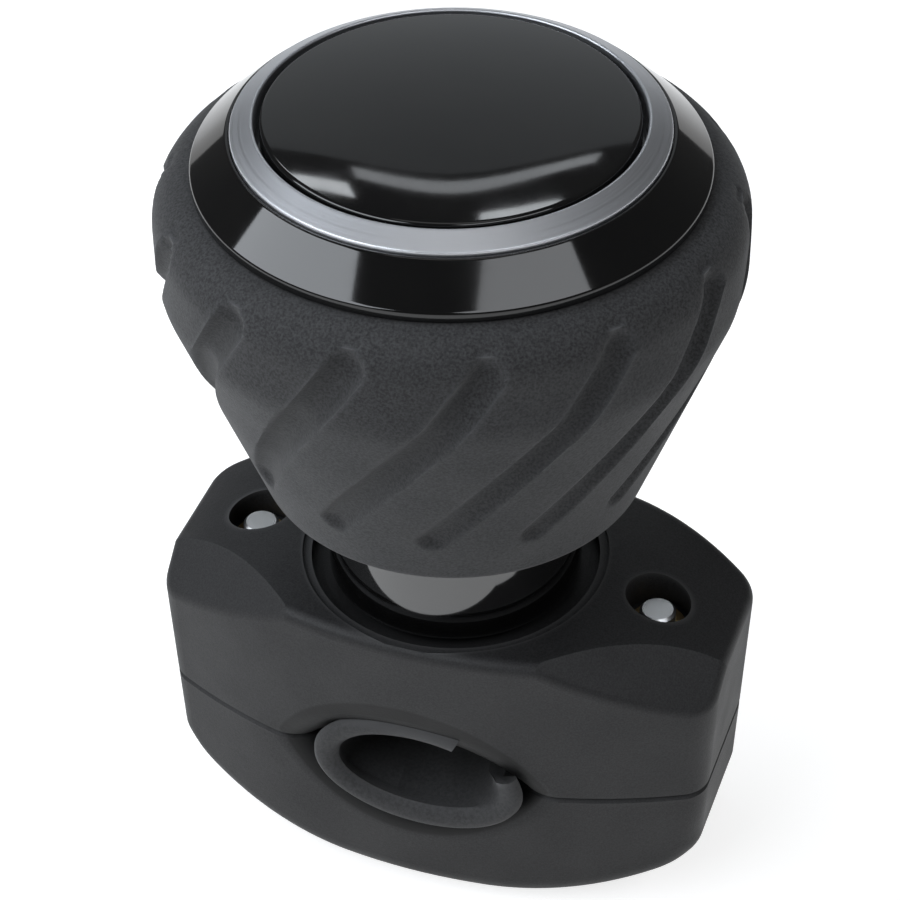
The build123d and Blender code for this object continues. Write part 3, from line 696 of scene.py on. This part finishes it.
SOFT_BOXES = [
    ("front_left", (-48, 38), 620, (760, 250), 4.2, (0.95, 1.0, 1.06)),
    ("front_right", (54, 47), 620, (500, 190), 2.6, (0.97, 1.0, 1.04)),
    ("overhead", (10, 86), 560, (300, 300), 0.55, (1, 1, 1)),
    ("top_left", (-110, 62), 560, (260, 260), 3.6, (0.90, 1.0, 1.1)),
    ("side_left", (-100, 28), 560, (240, 240), 2.6, (1, 1, 1)),
    ("side_right", (98, 34), 560, (300, 300), 2.4, (1, 1, 1)),
    ("low_front", (-20, 14), 600, (420, 140), 2.0, (1, 1, 1)),
]
NOT_REFLECTED = ("top_left", "side_left", "side_right", "low_front")
ONLY_REFLECTED = ("front_right",)
CARDS = [
    ("backdrop", 710, bowed(-27, 27, 0, 48.0), 0.33, 0.43),
    ("back_bar", 700, bowed(-13, 18, 49.3, 51.5), 2.3, 2.3),
    ("left_strip", 700, [(-24, 38.5), (-14.5, 47.0), (-14.5, 50.0), (-24, 41.5)], 6.0, 6.0),
    ("right_strip", 700, [(5, 54.8), (11, 53.0), (17, 50.0), (17, 52.0), (11, 55.4), (5, 56.6)], 6.0, 6.0),
]
for row in SOFT_BOXES:
    lamp = soft_box(*row)
    lamp.visible_glossy = lamp.name not in NOT_REFLECTED
    lamp.visible_diffuse = lamp.name not in ONLY_REFLECTED
for row in CARDS:
    card(*row)


# World and floor: the camera sees both as near white, and they light the object only a little
WORLD_GLOW, WORLD_SEEN = 0.07, 1.0
FLOOR_GREY, FLOOR_GLOW, FLOOR_SEEN, FLOOR_REFLECTED, FLOOR_REACH = 0.6, 0.05, 0.75, 0.55, 3


def add_world():
    """White behind the object for the camera, and a faint even light for everything else."""
    world = bpy.data.worlds.new("studio")
    bpy.context.scene.world = world
    world.use_nodes = True
    tree = world.node_tree
    background = tree.nodes["Background"]
    background.inputs["Color"].default_value = (1, 1, 1, 1)
    seen = tree.nodes.new("ShaderNodeLightPath").outputs["Is Camera Ray"]
    tree.links.new(remapped(tree, seen, WORLD_GLOW, WORLD_SEEN), background.inputs["Strength"])


def add_floor():
    """A pale floor that keeps the object's shadow, and looks paler to the camera and in reflections."""
    mesh = bpy.data.meshes.new("floor")
    corners = [(x * FLOOR_REACH, y * FLOOR_REACH, 0) for x, y in ((-1, -1), (1, -1), (1, 1), (-1, 1))]
    mesh.from_pydata(corners, [], [(0, 1, 2, 3)])
    floor = bpy.data.objects.new("floor", mesh)
    bpy.context.scene.collection.objects.link(floor)
    material, tree, shader = new_material("floor_white")
    shader.inputs["Base Color"].default_value = (FLOOR_GREY, FLOOR_GREY, FLOOR_GREY, 1)
    shader.inputs["Roughness"].default_value = 1.0
    shader.inputs["Specular IOR Level"].default_value = 0.0
    shader.inputs["Emission Color"].default_value = (1, 1, 1, 1)
    path = tree.nodes.new("ShaderNodeLightPath")
    glow = remapped(tree, path.outputs["Is Camera Ray"], FLOOR_GLOW, FLOOR_SEEN)
    gleam = calculated(tree, "MULTIPLY_ADD", path.outputs["Is Glossy Ray"], FLOOR_REFLECTED, glow)
    tree.links.new(gleam, shader.inputs["Emission Strength"])
    mesh.materials.append(material)


add_world()
add_floor()

bpy.context.scene.view_settings.view_transform = "Standard"
